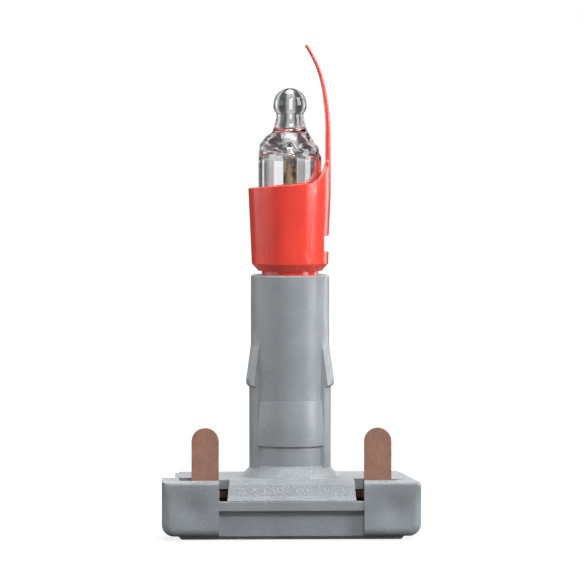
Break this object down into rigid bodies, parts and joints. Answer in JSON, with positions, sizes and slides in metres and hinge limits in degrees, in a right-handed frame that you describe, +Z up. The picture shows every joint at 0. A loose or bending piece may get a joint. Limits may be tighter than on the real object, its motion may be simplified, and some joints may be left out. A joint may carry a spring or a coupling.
{
  "type": "neon glow lamp unit",
  "caption": "Plug-in neon glow lamp: glass lamp in a red pull-out holder on a grey snap-in tube, with a contact base and two flat blades.",
  "frame": {"origin": "tube axis at the underside of the foot plate", "axes": "+Z up the tube towards the lamp, -Y is the front that the blades stand nearest to, +X is right seen from the front"},
  "size_m": [0.0244, 0.0092, 0.0468],
  "materials": {
    "housing": "grey moulded plastic with a fine sparkle texture",
    "contact": "brushed copper strip",
    "resistor": "lacquered ceramic rod",
    "plated": "tinned metal",
    "holder": "semi-gloss red moulded plastic",
    "bulb_glass": "clear blown glass",
    "electrode": "coated nickel rod with dark patches"
  },
  "bodies": {
    "root": {"tube_housing": "housing", "base_tray": "housing", "foot_plate": "housing", "contact_left": "contact", "contact_right": "contact", "socket_spring": "contact", "resistor_body": "resistor", "resistor_cap_lower": "plated", "resistor_cap_upper": "plated", "resistor_lead_lower": "plated", "resistor_lead_upper": "plated", "lamp_holder": "holder", "glass_bulb": "bulb_glass", "electrode_front": "electrode", "electrode_rear": "electrode", "lamp_lead_front": "plated", "lamp_lead_rear": "plated"}
  },
  "joints": []
}
